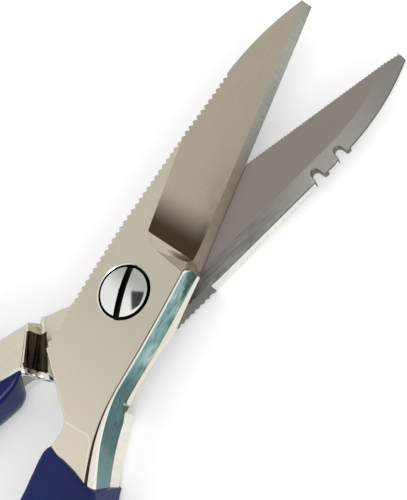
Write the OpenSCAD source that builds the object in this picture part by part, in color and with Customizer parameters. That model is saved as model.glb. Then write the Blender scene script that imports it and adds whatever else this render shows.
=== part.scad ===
// Heavy poultry shears: two forged halves on a screw pivot, with dipped vinyl grips.
// +Z points out of the front face, +Y runs along the middle of the open blades to the tips.
// The origin is on the pivot axis, on the plane that the shears lie on.

/* [Opening] */
// Angle between the halves' closed axes at rest, in degrees
rest_opening = 18.5; // [5:0.5:30]

/* [Blades] */
// Thickness of one half at the boss
half_t = 7.5; // [6:0.25:9]
// Gap between the two contact faces
contact_gap = 0.1; // [0.05:0.05:0.3]
// Distance from the pivot to the tip
tip_y = 88.8; // [80:0.2:95]
// Half width at the pivot, on the cutting side
edge_base_x = 13.7; // [12.5:0.1:15]
// Inward slope of the cutting edge, in mm per mm
edge_slope = 0.1525; // [0.14:0.0005:0.16]
// Distance from the axis to the toothed back, at the pivot
back_x = 11.3; // [10.5:0.1:12]
// Thickness of the blade at the tip end of its flat strip
strip_tip_t = 2.9; // [2.6:0.1:4]
// Height of the cutting bevel
bevel_h = 2.6; // [2:0.1:3]
// Width of the cutting bevel
bevel_w = 1.5; // [1:0.1:2]

/* [Teeth] */
// Pitch of the scaler teeth on the back
tooth_pitch = 1.75; // [1.4:0.05:2.4]
// Depth of the scaler teeth
tooth_depth = 0.75; // [0.4:0.05:1.2]
// Pitch of the fine serration on the rear blade's edge
serration_pitch = 0.93; // [0.7:0.01:1.4]
// Depth of the fine serration
serration_depth = 0.32; // [0.2:0.02:0.5]

/* [Handles] */
// Distance from the pivot to the end of the steel bow
bow_end_y = 135; // [120:1:150]
// Greatest distance of the steel bow from the closed axis
bow_x = 42; // [38:0.5:46]
// Distance of the inner leg from the closed axis
leg_x = 3.4; // [3:0.1:5]
// Width of the steel round the finger opening
bow_bar = 7.5; // [6:0.25:9]
// Half thickness of the steel bow
bow_half_t = 5.2; // [4.5:0.1:6]
// Depth of the shank across the contact plane
shank_drop = 6.25; // [4:0.25:6.5]
// Distance behind the pivot where the shank steps across the contact plane, on the closed axis
step_y = 30.8; // [30:0.1:32]
// Thickness of the vinyl coat
coat_t = 1; // [0.8:0.1:1.2]
// Where the vinyl coat starts
coat_start_y = -41; // [-48:1:-39]

/* [Pivot] */
// Diameter of the screw's head
head_d = 12.8; // [11:0.1:13]
// Diameter of the counterbore for the head
head_bore_d = 14; // [13.4:0.1:15]
// Diameter of the screw's shank
shank_d = 8; // [6:0.1:9]
// Radial clearance of the shank in the front half
shank_clearance = 0.05; // [0.02:0.01:0.1]
// Thickness of the head below its dome
head_t = 2.4; // [2:0.1:3]
// Rise of the dome
dome_h = 0.9; // [0.5:0.1:1.4]
// Width of the screwdriver slot
slot_w = 1.75; // [1:0.05:2.2]
// Thickness of the spring washer as fitted
washer_t = 0.8; // [0.5:0.1:1.2]
// Diameter of the nut
nut_d = 13; // [12:0.1:14]
// Thickness of the nut
nut_t = 3.6; // [3:0.1:4]

/* [Hidden] */
$fn = 72;

far = 200;                        // reach of a cutter that must clear the whole half
half_angle = rest_opening / 2;
contact_z = half_t;               // height of the contact plane above the resting plane
low_h = contact_gap / 2;          // heights named _h are measured from the contact plane
strip_y = 14;                     // where the blade's strip starts to thin towards the tip
strip_taper = (half_t - strip_tip_t) / (tip_y - strip_y);
tip_blunt = 2.1;                  // length of the cut-off tip
back_tip_y = 58;                  // where the straight back turns into the curved one
back_tip_x = 9.7;
back_slope = (back_x - back_tip_x) / back_tip_y;
corner_y = -21;                   // corner between the back and the neck
neck = [4.6, -34.4];              // narrowest place, on the inner side
wall = [[13.5, -27], [12.5, -20], [12.5, -5], [11.9, 11]];
back_corner = [0.3, -0.4];        // small flat below the back's corner
tooth_start = 1;                  // from the corner to the first tooth
serration_start = 0.5;            // from the tip to the first fine tooth
shoulder_y = 15;                  // where the ground face ends
front_teeth_y = 63.5;             // end of the scaler teeth, on each half
rear_teeth_y = 15;
notches_y = [53.4, 61.2];
notch_r = 1.35;
notch_depth = 2.8;
step_slope = 0.62;                // the step runs forward towards the outer wall
step_fillet_r = 3;
ridge_y = -33;                    // where the shank's front face starts to slope down
back_ridge_y = -34;               // where its back face starts to slope up
bow_start_y = -52;                // where the bow has its final thickness
opening_y = -57;                  // front end of the finger opening
curve_n = 14;                     // steps of one curved stretch of an outline
cut_over = 1;                     // how far a cutter runs past the solid it cuts
head_proud = 0.1;                 // rim of the head above the front face
seat_h = half_t - head_t - washer_t + head_proud;    // floor of the counterbore
washer_gap = 0.02;                // free height of the washer under the head
slot_angle = 116;                 // direction of the screwdriver slot, from +X
slot_depth = 1.9;                 // from the top of the dome
nut_floor_t = 1;                  // closed end of the blind nut

// Control points of the bow's outline, clockwise from the outer end of the coat.
shank_x = 18.8;
bow_end_x = 22;
wide_y = -90;
leg_end_y = -110;
leg_top_y = -50;
bow_outer = [[shank_x, coat_start_y], [24.5, -53], [bow_x, -62], [bow_x, wide_y]];
bow_lower = [[bow_x, wide_y], [bow_x, -119], [35, -bow_end_y], [bow_end_x, -bow_end_y]];
bow_corner = [[bow_end_x, -bow_end_y], [11, -bow_end_y], [leg_x, -127], [leg_x, leg_end_y]];
bow_leg = [[leg_x, leg_end_y], [leg_x, wide_y], [leg_x, -70], [leg_x, leg_top_y]];

// Directions that the coat's outline is pushed in.
right = [1, 0];
left = [-1, 0];
down = [0, -1];

// The blade's ground face: its grid, and the line on the strip that it falls from.
ground_n = 9;                     // stations along the blade
ground_m = 4;                     // steps across it
ground_power = 1.25;              // how hollow it is across
ground_reach = 1.3;               // the grid runs on past the strip, so that the two faces cross
ground_over = [8, 3];             // how far the cutter runs past the edge, and past the tip and front
ground_corner = [-3.1, 16.1];
ground_exit = [-9.7, 42];
bevel_reach = 2;                  // the bevel's cutter goes this many widths up the same slope
bevel_start = 1.5;                // how far the bevel runs on below the ground face

// Outline helpers: a cubic curve through control points, and places on the blade's lines.
function curve(a, b, c, d, n = curve_n) = [for (i = [1:n]) let (t = i / n, s = 1 - t)
    s * s * s * a + 3 * s * s * t * b + 3 * s * t * t * c + t * t * t * d];
function pushed(p, start, end) = curve(p[0] + start, p[1] + start, p[2] + end, p[3] + end);
function edge_x(y) = edge_base_x - edge_slope * y;
function spine_x(y) = -back_x + back_slope * max(y, 0);
function strip_h(y) = half_t - strip_taper * max(y - strip_y, 0);

// The curved part of the back is one arc that meets the straight back smoothly.
arc_dx = back_tip_x - tip_blunt;
arc_dy = tip_y - back_tip_y;
arc_r = (arc_dx * arc_dx + arc_dy * arc_dy) / (2 * arc_dx);
arc_span = asin(arc_dy / arc_r);
function tip_arc(start_y) =
    let (skipped = asin(max(start_y - back_tip_y, 0) / arc_r))
    [for (i = [0:curve_n]) let (a = 180 - skipped - (arc_span - skipped) * i / curve_n)
        [-back_tip_x + arc_r + arc_r * cos(a), back_tip_y + arc_r * sin(a)]];
function back_at(y) = y < back_tip_y ? spine_x(y)
    : -back_tip_x + arc_r - sqrt(arc_r * arc_r - pow(y - back_tip_y, 2));

// Teeth on the back, from the corner up to end_y.
function back_teeth(end_y) = [for (i = [0:floor((end_y - corner_y - tooth_start) / tooth_pitch) - 1],
    k = [0, 1]) let (y = corner_y + tooth_start + (i + k / 2) * tooth_pitch)
    [back_at(y) + k * tooth_depth, y]];

// Fine serration, from the tip down to the shoulder, or only the two ends when depth is 0.
function edge_teeth(depth) = depth == 0 ? [] :
    [for (i = [0:floor((tip_y - shoulder_y - 1) / serration_pitch) - 1], k = [0, 1])
    let (y = tip_y - serration_start - (i + k / 2) * serration_pitch) [edge_x(y) - k * depth, y]];

// Steel outline of the bow and shank: grow is 0 for the steel and the coat's thickness for the vinyl.
function bow_outline(grow) = concat(
    pushed(bow_outer, grow * right, grow * right),
    pushed(bow_lower, grow * right, grow * down),
    pushed(bow_corner, grow * down, grow * left),
    pushed(bow_leg, grow * left, grow * left));

// Finger opening, smaller by grow all round.
function bow_opening(grow) =
    let (x0 = leg_x + bow_bar + grow, x1 = bow_x - bow_bar - grow, y0 = opening_y - grow,
        y1 = -bow_end_y + bow_bar + grow, xm = 19)
    concat(
        curve([xm, y0], [26, y0 - 3], [x1, -78], [x1, -92]),
        curve([x1, -92], [x1, -113], [32, y1], [22, y1]),
        curve([22, y1], [14, y1], [x0, -118], [x0, -108]),
        curve([x0, -108], [x0, -95], [x0, -80], [x0, -70]),
        curve([x0, -70], [x0, -62], [14, y0], [xm, y0]));

// Whole steel outline of a half, clockwise from the tip: edge, wall, handle, neck, back.
function half_outline(teeth_y, depth) = concat(
    [[edge_x(tip_y), tip_y]],
    edge_teeth(depth),
    [[edge_x(shoulder_y), shoulder_y]],
    [for (i = [3:-1:1]) wall[i]],
    curve(wall[1], [wall[1].x, -26], [14.6, -33], bow_outer[0]),
    bow_outline(0),
    curve([leg_x, leg_top_y], [leg_x, -42], [5, -39], neck),
    curve(neck, [4.2, -33.2], [3.4, -32.4], [2.2, -31.4], 5),
    [[-back_x, corner_y] + back_corner],
    back_teeth(teeth_y),
    [if (teeth_y < back_tip_y) [spine_x(teeth_y), teeth_y]],
    tip_arc(teeth_y));

// Everything a half keeps, seen from the side: full thickness at the boss, thinner bows.
module side_limits() {
    rotate([90, 0, 90])
        linear_extrude(height = far, center = true)
            polygon([
                [far, half_t], [ridge_y, half_t], [bow_start_y, bow_half_t], [-far, bow_half_t],
                [-far, -bow_half_t], [bow_start_y, -bow_half_t],
                [back_ridge_y, -shank_drop], [far, -shank_drop]]);
}

// Room for the other half: a flat contact face up to the step, with a round fillet at the step.
module contact_room() {
    translate([0, -step_y, 0])
        rotate([0, 0, atan(step_slope)])
            rotate([90, 0, 90])
                linear_extrude(height = far, center = true)
                    difference() {
                        translate([-step_fillet_r, -far])
                            square([far, far + low_h]);
                        translate([0, low_h - step_fillet_r])
                            difference() {
                                translate([-step_fillet_r - cut_over, 0])
                                    square(step_fillet_r + cut_over);
                                circle(r = step_fillet_r);
                            }
                    }
}

// Thins the blade's outer side from the boss to the tip.
module strip_cutter() {
    rotate([90, 0, 90])
        linear_extrude(height = far, center = true)
            polygon([[strip_y, half_t], [far, strip_h(far)], [far, far], [strip_y, far]]);
}

// The ground face falls from the strip to the top of the cutting bevel.
// It is a grid of stations along the blade, from the shoulder to past the tip.
function ground_line_x(y) = ground_corner.x
    + (ground_exit.x - ground_corner.x) * (y - ground_corner.y) / (ground_exit.y - ground_corner.y);
function bevel_x(y) = edge_x(y) - bevel_w;
function ground_h(y, k) = bevel_h + (strip_h(y) - bevel_h) * pow(k, ground_power);
function ground_point(i, j) =
    let (y = shoulder_y + i * (tip_y + ground_over.y - shoulder_y) / ground_n,
        k = ground_reach * j / ground_m)
    [bevel_x(y) + k * (ground_line_x(y) - bevel_x(y)), y, ground_h(y, k)];
module ground_cutter() {
    cols = ground_m + 2;
    grid = [for (i = [0:ground_n]) concat(
        [for (j = [0:ground_m]) ground_point(i, j)],
        [ground_point(i, 0) + [ground_over.x, 0, 0]])];
    low = [for (row = grid, p = row) p];
    high = [for (p = low) [p.x, p.y, half_t + ground_over.y]];
    n = len(low);
    order = concat([cols - 1], [for (j = [0:cols - 2]) j]);
    function at(i, j) = i * cols + order[j];
    faces = concat(
        [for (i = [0:ground_n - 1], j = [0:cols - 2], t = [0, 1]) t == 0
            ? [at(i, j), at(i, j + 1), at(i + 1, j + 1)]
            : [at(i, j), at(i + 1, j + 1), at(i + 1, j)]],
        [for (i = [0:ground_n - 1], j = [0:cols - 2], t = [0, 1]) t == 0
            ? [n + at(i, j), n + at(i + 1, j + 1), n + at(i, j + 1)]
            : [n + at(i, j), n + at(i + 1, j), n + at(i + 1, j + 1)]],
        [for (i = [0:ground_n - 1], t = [0, 1]) t == 0
            ? [at(i, 0), at(i + 1, 0), n + at(i + 1, 0)]
            : [at(i, 0), n + at(i + 1, 0), n + at(i, 0)]],
        [for (i = [0:ground_n - 1], t = [0, 1]) t == 0
            ? [at(i, cols - 1), n + at(i + 1, cols - 1), at(i + 1, cols - 1)]
            : [at(i, cols - 1), n + at(i, cols - 1), n + at(i + 1, cols - 1)]],
        [for (j = [0:cols - 2], t = [0, 1]) t == 0
            ? [at(0, j), n + at(0, j), n + at(0, j + 1)]
            : [at(0, j), n + at(0, j + 1), at(0, j + 1)]],
        [for (j = [0:cols - 2], t = [0, 1]) t == 0
            ? [at(ground_n, j), n + at(ground_n, j + 1), n + at(ground_n, j)]
            : [at(ground_n, j), at(ground_n, j + 1), n + at(ground_n, j + 1)]]);
    polyhedron(concat(low, high), [for (f = faces) [f[2], f[1], f[0]]]);
}

// The cutting bevel rises from the edge, at the contact plane, to the ground face.
module bevel_cutter() {
    translate([edge_x(0), 0, low_h])
        rotate([0, 0, atan(edge_slope)])
            rotate([90, 0, 0])
                translate([0, 0, -far / 2])
                    linear_extrude(height = far / 2 - shoulder_y + bevel_start)
                        polygon([
                            [0.01, 0],
                            [-bevel_reach * bevel_w, bevel_reach * bevel_h],
                            [bevel_h, far],
                            [bevel_h, 0]]);
}

// The lower blade's two round-bottomed notches.
module notches() {
    for (y = notches_y)
        translate([spine_x(y) + notch_depth - notch_r, y, -cut_over]) {
            cylinder(r = notch_r, h = half_t + 2 * cut_over);
            translate([-far, -notch_r, 0])
                cube([far, 2 * notch_r, half_t + 2 * cut_over]);
        }
}

// One half in its closed frame, with the contact plane at height 0 and its blade above it.
module half(teeth_y, serration) {
    difference() {
        intersection() {
            translate([0, 0, -shank_drop - cut_over])
                linear_extrude(height = half_t + shank_drop + cut_over)
                    difference() {
                        polygon(half_outline(teeth_y, serration));
                        polygon(bow_opening(0));
                    }
            side_limits();
        }
        contact_room();
        strip_cutter();
        ground_cutter();
        bevel_cutter();
    }
}

// The vinyl coat of one half, in the same frame, as a shell round the steel.
module coat() {
    difference() {
        translate([0, 0, -shank_drop - coat_t])
            linear_extrude(height = bow_half_t + shank_drop + 2 * coat_t + 2 * cut_over)
                difference() {
                    intersection() {
                        polygon(concat(
                            [bow_outer[0] + coat_t * right],
                            bow_outline(coat_t),
                            [[leg_x - coat_t, coat_start_y]]));
                        translate([-far / 2, -far])
                            square([far, far + coat_start_y]);
                    }
                    polygon(bow_opening(coat_t));
                }
        rotate([90, 0, 90])
            linear_extrude(height = far, center = true)
                polygon([
                    [0, half_t + coat_t], [ridge_y, half_t + coat_t],
                    [bow_start_y, bow_half_t + coat_t], [-far, bow_half_t + coat_t],
                    [-far, far], [0, far]]);
        rotate([90, 0, 90])
            linear_extrude(height = far, center = true)
                polygon([
                    [0, -shank_drop - coat_t], [back_ridge_y, -shank_drop - coat_t],
                    [bow_start_y, -bow_half_t - coat_t], [-far, -bow_half_t - coat_t],
                    [-far, -far], [0, -far]]);
        intersection() {
            translate([0, 0, -far / 2])
                linear_extrude(height = far)
                    difference() {
                        polygon(half_outline(front_teeth_y, 0));
                        polygon(bow_opening(0));
                    }
            side_limits();
        }
    }
}

module front_place() {
    translate([0, 0, contact_z])
        rotate([0, 0, half_angle])
            children();
}

module rear_place() {
    translate([0, 0, contact_z])
        rotate([0, 0, -half_angle])
            rotate([0, 180, 0])
                children();
}

module front_half() {
    color([0.78, 0.75, 0.70])
        front_place()
            difference() {
                half(front_teeth_y, 0);
                translate([0, 0, -cut_over])
                    cylinder(d = shank_d + 2 * shank_clearance, h = half_t + 2 * cut_over);
                translate([0, 0, seat_h])
                    cylinder(d = head_bore_d, h = half_t);
            }
}

module rear_half() {
    color([0.53, 0.50, 0.48])
        rear_place()
            difference() {
                half(rear_teeth_y, serration_depth);
                notches();
                translate([0, 0, -cut_over])
                    cylinder(d = shank_d + 2 * shank_clearance, h = half_t + 2 * cut_over);
                translate([0, 0, half_t - nut_t])
                    cylinder(d = nut_d, h = half_t);
            }
}

module front_grip() {
    color([0.12, 0.16, 0.36])
        front_place()
            coat();
}

module rear_grip() {
    color([0.12, 0.16, 0.36])
        rear_place()
            coat();
}

// Domed, slotted head in the counterbore, and the shank that the front half turns on.
module pivot_screw() {
    head_z = contact_z + seat_h + washer_t;
    shank_z = nut_floor_t;
    shank_in_head = 0.5;
    dome_r = (head_d * head_d / 4 + dome_h * dome_h) / (2 * dome_h);
    color([0.80, 0.80, 0.80])
        difference() {
            union() {
                translate([0, 0, shank_z])
                    cylinder(d = shank_d, h = head_z - shank_z + shank_in_head);
                translate([0, 0, head_z])
                    intersection() {
                        cylinder(d = head_d, h = head_t + dome_h);
                        translate([0, 0, head_t + dome_h - dome_r])
                            sphere(r = dome_r, $fn = 120);
                    }
            }
            rotate([0, 0, slot_angle])
                translate([-head_d, -slot_w / 2, head_z + head_t + dome_h - slot_depth])
                    cube([2 * head_d, slot_w, slot_depth + cut_over]);
        }
}

// Split spring washer between the counterbore's floor and the head.
module spring_washer() {
    washer_play = 0.6;
    split_w = 0.9;
    split_angle = 40;
    color([0.55, 0.55, 0.56])
        translate([0, 0, contact_z + seat_h])
            difference() {
                cylinder(d = head_d - washer_play, h = washer_t - washer_gap);
                translate([0, 0, -cut_over])
                    cylinder(d = shank_d + washer_play, h = washer_t + 2 * cut_over);
                rotate([0, 0, split_angle])
                    translate([0, -split_w / 2, -cut_over])
                        cube([head_d, split_w, washer_t + 2 * cut_over]);
            }
}

// Blind nut, flush with the rear half's outer face, with two holes for a pin spanner.
module pivot_nut() {
    pin_hole_d = 1.8;
    pin_hole_r = 4.4;
    pin_hole_depth = 0.8;
    color([0.70, 0.70, 0.70])
        difference() {
            cylinder(d = nut_d, h = nut_t);
            translate([0, 0, nut_floor_t])
                cylinder(d = shank_d, h = nut_t);
            for (side = [-1, 1])
                translate([side * pin_hole_r, 0, -cut_over])
                    cylinder(d = pin_hole_d, h = pin_hole_depth + cut_over);
        }
}

front_half();
rear_half();
front_grip();
rear_grip();
pivot_screw();
spring_washer();
pivot_nut();
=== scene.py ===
import math

import bpy
import bmesh
import numpy as np
from mathutils import Matrix, Vector
from mathutils.geometry import delaunay_2d_cdt


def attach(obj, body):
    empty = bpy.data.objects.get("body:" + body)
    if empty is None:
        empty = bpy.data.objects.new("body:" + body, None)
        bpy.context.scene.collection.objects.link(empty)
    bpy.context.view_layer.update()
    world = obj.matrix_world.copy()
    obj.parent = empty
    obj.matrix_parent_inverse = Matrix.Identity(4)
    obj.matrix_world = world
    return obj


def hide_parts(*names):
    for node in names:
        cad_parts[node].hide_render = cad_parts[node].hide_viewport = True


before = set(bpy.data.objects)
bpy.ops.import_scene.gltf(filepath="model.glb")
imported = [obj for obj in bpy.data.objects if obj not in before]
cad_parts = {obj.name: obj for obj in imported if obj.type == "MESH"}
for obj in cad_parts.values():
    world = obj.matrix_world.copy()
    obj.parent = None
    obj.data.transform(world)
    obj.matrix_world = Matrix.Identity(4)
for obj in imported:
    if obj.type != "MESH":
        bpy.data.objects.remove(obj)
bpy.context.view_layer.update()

# Poultry shears. Lengths are in millimetres and are turned into metres when a mesh is made.
# A half is built in its closed frame: x across the blade towards its edge, y towards the tip, h
# from the contact plane to the half's outer face. It is then turned into its place. Most of the
# dimensions repeat part.scad's.
MM = 0.001

# ---------------------------------------------------------------- driving dimensions
# the opening in degrees, a half's thickness at the boss, and the gap between the halves
REST_OPENING = 18.5
HALF_T = 7.5
CONTACT_GAP = 0.1
# the blade: its edge, its back, the flat strip along the back and the cutting bevel
TIP_Y = 88.8
EDGE_BASE_X = 13.7
EDGE_SLOPE = 0.1525
BACK_X = 11.3
BACK_TIP_X = 9.7
BACK_TIP_Y = 58.0
STRIP_TIP_T = 2.9
STRIP_Y = 14.0
BEVEL_H = 2.6
BEVEL_W = 1.5
TIP_BLUNT = 2.1
# the boss: the back's corner, the neck behind it and the shoulder in front
CORNER_Y = -21.0
NECK = (4.6, -34.4)
SHOULDER_Y = 12.7
# scaler teeth on the backs, the rear half's edge serration and its notches
TOOTH_PITCH = 1.75
TOOTH_DEPTH = 0.75
WORN_DEPTH = 0.35
SERRATION_PITCH = 0.93
SERRATION_DEPTH = 0.32
FRONT_TEETH_Y = 63.5
REAR_TEETH_Y = 15.0
NOTCH_R = 1.1
NOTCH_DEPTH = 2.8
NOTCH_LIP = 0.35
NOTCHES_Y = (53.4, 61.2)
LAND_BULGE = 0.25
# the bow and the shank, and the step across the contact side
BOW_END_Y = 135.0
BOW_X = 42.0
LEG_X = 3.4
BOW_BAR = 7.5
BOW_HALF_T = 5.2
SHANK_DROP = 6.25
STEP_Y = 30.8
STEP_SLOPE = 0.62
RIDGE_Y = -33.0
BOW_START_Y = -52.0
OPENING_Y = -57.0
# the vinyl coat
COAT_T = 1.0
COAT_START_Y = -41.0
SHANK_X = 18.8
# the screw, its washer and their seat
HEAD_D = 12.8
HEAD_BORE_D = 14.0
SHANK_D = 8.0
SHANK_END_Z = 3.7
HEAD_T = 2.4
DOME_H = 0.9
SLOT_W = 1.75
SLOT_ANGLE = 116.0
WASHER_T = 0.8
SEAT_H = HALF_T - HEAD_T - WASHER_T + 0.1

LOW_H = CONTACT_GAP / 2
# the outer wall between the shoulder and the step, and its curve from there to the vinyl
WALL = ((11.76, 12.7), (11.68, 12.4), (12.25, -0.4), (12.45, -10.0), (12.4, -20.0))
WALL_CURVE = (WALL[-1], (12.5, -26), (14.6, -33), (SHANK_X, COAT_START_Y))
FRONT_TURN = math.radians(REST_OPENING / 2)
STRIP_TAPER = (HALF_T - STRIP_TIP_T) / (TIP_Y - STRIP_Y)
BACK_SLOPE = (BACK_X - BACK_TIP_X) / BACK_TIP_Y


# ---------------------------------------------------------------- outlines
def bezier(a, b, c, d, n):
    """Points on a cubic curve, without its first."""
    t = np.linspace(0, 1, n + 1)[1:, None]
    a, b, c, d = (np.array(p, float) for p in (a, b, c, d))
    s = 1 - t
    return s**3 * a + 3 * s * s * t * b + 3 * s * t * t * c + t**3 * d


def edge_x(y):
    return EDGE_BASE_X - EDGE_SLOPE * y


def spine_x(y):
    return -BACK_X + BACK_SLOPE * np.maximum(y, 0)


def strip_h(y):
    return HALF_T - STRIP_TAPER * np.maximum(y - STRIP_Y, 0)


ARC_DX = BACK_TIP_X - TIP_BLUNT
ARC_DY = TIP_Y - BACK_TIP_Y
ARC_R = (ARC_DX**2 + ARC_DY**2) / (2 * ARC_DX)
ARC_CENTRE = (-BACK_TIP_X + ARC_R, BACK_TIP_Y)


def back_distance(x, y):
    """Distance inwards from the smooth line of the back."""
    straight = x - spine_x(y)
    curved = ARC_R - np.hypot(x - ARC_CENTRE[0], y - ARC_CENTRE[1])
    return np.where(y > BACK_TIP_Y, curved, straight)


def back_point(y, inward):
    """A point on the back's smooth line at height y, moved inwards."""
    if y <= BACK_TIP_Y:
        return (float(spine_x(y)) + inward, y)
    a = math.asin((y - BACK_TIP_Y) / ARC_R)
    r = ARC_R - inward
    return (ARC_CENTRE[0] - r * math.cos(a), BACK_TIP_Y + r * math.sin(a))


def tooth_profile(t):
    """Share of the depth of a scaler tooth's flank, over one pitch: sharp valleys, rounded crests."""
    return abs(2 * t - 1) ** 1.35


def segment(a, b, step):
    """Points from a to b, without a, at most step apart."""
    a, b = np.array(a, float), np.array(b, float)
    n = max(1, int(math.ceil(np.linalg.norm(b - a) / step)))
    return [tuple(a + (b - a) * i / n) for i in range(1, n + 1)]


def notch_points(y):
    """A round-bottomed notch in the back, with rolled lips, from the pivot's side to the tip's."""
    centre_x = float(spine_x(y)) + NOTCH_DEPTH - NOTCH_R
    angles = np.linspace(-math.pi / 2, math.pi / 2, 10)
    bottom = [(centre_x + NOTCH_R * math.cos(a), y + NOTCH_R * math.sin(a)) for a in angles]
    lip = ((NOTCH_R + 2 * NOTCH_LIP, 0), (NOTCH_R + NOTCH_LIP, 0.12), (NOTCH_R + 0.1, 0.62))
    return ([back_point(y - away, inward) for away, inward in lip] + bottom
            + [back_point(y + away, inward) for away, inward in reversed(lip)])


# one serration's points: how far along the pitch, and the share of the depth there
SERRATION = ((0.0, 0.0), (0.36, 0.75), (0.5, 1.0), (0.64, 0.75))
SERRATION_START = 0.5
TOOTH_STEPS = 6
TEETH_START_Y = CORNER_Y + 0.3
TIP_STEPS = 40


def edge_points(serrated):
    """The cutting edge from the tip to the shoulder."""
    tip, shoulder = (edge_x(TIP_Y), TIP_Y), (edge_x(SHOULDER_Y), SHOULDER_Y)
    if not serrated:
        return [tip] + segment(tip, shoulder, 1.2)
    points = [tip]
    for i in range(int((TIP_Y - SHOULDER_Y - 1) / SERRATION_PITCH)):
        for along, share in SERRATION:
            y = TIP_Y - SERRATION_START - i * SERRATION_PITCH - along * SERRATION_PITCH
            points.append((edge_x(y) - share * SERRATION_DEPTH, y))
    return points + [shoulder]


def neck_points():
    """From the inner leg round the hollow under the boss to the corner of the back."""
    corner = (-BACK_X + 0.35, CORNER_Y - 0.5)
    foot = (2.2, -31.4)
    return [*bezier((LEG_X, -50), (LEG_X, -42), (5, -39), NECK, 16),
            *bezier(NECK, (4.3, -33.2), (3.4, -32.4), foot, 8), *segment(foot, corner, 0.45)]


def teeth_points(teeth_y, depth):
    """Scaler teeth along the back as far as teeth_y, the last one running out."""
    n = int((teeth_y - CORNER_Y - 0.6) / TOOTH_PITCH)
    shares = [k / TOOTH_STEPS for k in range(TOOTH_STEPS)]
    points = [back_point(TEETH_START_Y + i * TOOTH_PITCH + t * TOOTH_PITCH, depth * tooth_profile(t))
              for i in range(n) for t in shares]
    y = TEETH_START_Y + n * TOOTH_PITCH
    return points + [back_point(y, depth), back_point(y + 0.5, 0.25), back_point(y + 1, 0)]


def land_points(y0, y1, bulge):
    """The smooth back between y0 and y1, without its ends, which swells out by bulge in the middle."""
    ys = [p[1] for p in segment((0, y0), (0, y1), 1.0)[:-1]]
    return [back_point(y, -bulge * math.sin(math.pi * (y - y0) / (y1 - y0))) for y in ys]


def half_outline(rear):
    """The steel outline of a half, clockwise from the tip's edge corner, as points with a tag each."""
    pts = []

    def add(points, tag):
        pts.extend((tuple(float(v) for v in p), tag) for p in points)

    add(edge_points(rear), "edge")
    for a, b in zip(WALL, WALL[1:]):
        add(segment(a, b, 0.8), "wall")
    add(bezier(*WALL_CURVE, 60), "wall")
    add(bow_outline(0, 26), "bow")
    add(neck_points(), "neck")
    add(teeth_points(REAR_TEETH_Y, WORN_DEPTH) if rear else teeth_points(FRONT_TEETH_Y, TOOTH_DEPTH), "teeth")
    for notch_y in NOTCHES_Y if rear else ():
        points = notch_points(notch_y)
        bulge = LAND_BULGE if notch_y > NOTCHES_Y[0] else 0.0
        add(land_points(pts[-1][0][1], points[0][1], bulge), "back")
        add(points, "notch")
    last_y = pts[-1][0][1]
    for i in range(1, TIP_STEPS + 1):
        y = last_y + (TIP_Y - last_y) * (1 - (1 - i / TIP_STEPS) ** 1.3)
        add([back_point(y, 0)], "back")
    add([(edge_x(TIP_Y) - 0.7, TIP_Y + 0.05)], "tip")
    return pts


def bow_outline(grow, n):
    """The bow from the shank's outer side round to its inner leg. grow is 0 on the steel."""
    x0, x1, end_y = LEG_X - grow, BOW_X + grow, -BOW_END_Y - grow
    return np.concatenate([
        bezier((SHANK_X + grow, COAT_START_Y), (24.5 + grow, -53), (x1, -62), (x1, -90), n),
        bezier((x1, -90), (x1, -119), (35, end_y), (22, end_y), n),
        bezier((22, end_y), (11, end_y), (x0, -127), (x0, -110), n),
        bezier((x0, -110), (x0, -90), (x0, -70), (x0, -50), n)])


def bow_opening(grow, n):
    """The finger opening, anticlockwise. grow makes it smaller all round."""
    x0 = LEG_X + BOW_BAR + grow
    x1 = BOW_X - BOW_BAR - grow
    y0 = OPENING_Y - grow
    y1 = -BOW_END_Y + BOW_BAR + grow
    xm = 19
    return np.concatenate([
        bezier((xm, y0), (26, y0 - 3), (x1, -78), (x1, -92), n),
        bezier((x1, -92), (x1, -113), (32, y1), (22, y1), n),
        bezier((22, y1), (14, y1), (x0, -118), (x0, -108), n),
        bezier((x0, -108), (x0, -95), (x0, -80), (x0, -70), n),
        bezier((x0, -70), (x0, -62), (14, y0), (xm, y0), n)])[::-1]


def circle(r, n=96):
    """A circle round the pivot, anticlockwise."""
    a = -np.arange(n) * 2 * math.pi / n
    return np.stack([r * np.cos(a), r * np.sin(a)], 1)[::-1]


# ---------------------------------------------------------------- plane geometry
def inside(points, loop):
    """Which points lie inside a closed loop."""
    x, y = points[:, 0][:, None], points[:, 1][:, None]
    ax, ay = loop[:, 0][None], loop[:, 1][None]
    bx, by = np.roll(loop[:, 0], -1)[None], np.roll(loop[:, 1], -1)[None]
    crosses = (ay > y) != (by > y)
    with np.errstate(divide="ignore", invalid="ignore"):
        at = (bx - ax) * (y - ay) / (by - ay) + ax
    return (crosses & (x < at)).sum(1) % 2 == 1


def distance_to(points, loop):
    """Distance of each point to a closed loop."""
    a = loop
    b = np.roll(loop, -1, 0)
    d = b - a
    l2 = np.maximum((d * d).sum(1), 1e-12)
    best = np.full(len(points), 1e9)
    for start in range(0, len(points), 2000):
        p = points[start:start + 2000, None]
        t = np.clip(((p - a) * d).sum(2) / l2, 0, 1)
        best[start:start + 2000] = np.hypot(*np.moveaxis(p - (a + t[..., None] * d), 2, 0)).min(1)
    return best


def inward_normals(loop):
    """Mitre directions to the right of a loop's travel, stretched at corners to keep an offset's width."""
    d = np.roll(loop, -1, 0) - loop
    d /= np.maximum(np.linalg.norm(d, axis=1), 1e-9)[:, None]
    right = np.stack([d[:, 1], -d[:, 0]], 1)
    before = np.roll(right, 1, 0)
    m = right + before
    m /= np.maximum(np.linalg.norm(m, axis=1), 1e-9)[:, None]
    cosine = np.clip((m * right).sum(1), 0.5, 1)
    return m / cosine[:, None]


# ---------------------------------------------------------------- meshes
def add_object(name, data):
    obj = bpy.data.objects.new(name, data)
    bpy.context.scene.collection.objects.link(obj)
    return obj


def mesh_object(name, bm):
    """An object that takes over a bmesh."""
    mesh = bpy.data.meshes.new(name)
    bm.to_mesh(mesh)
    bm.free()
    return add_object(name, mesh)


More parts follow.
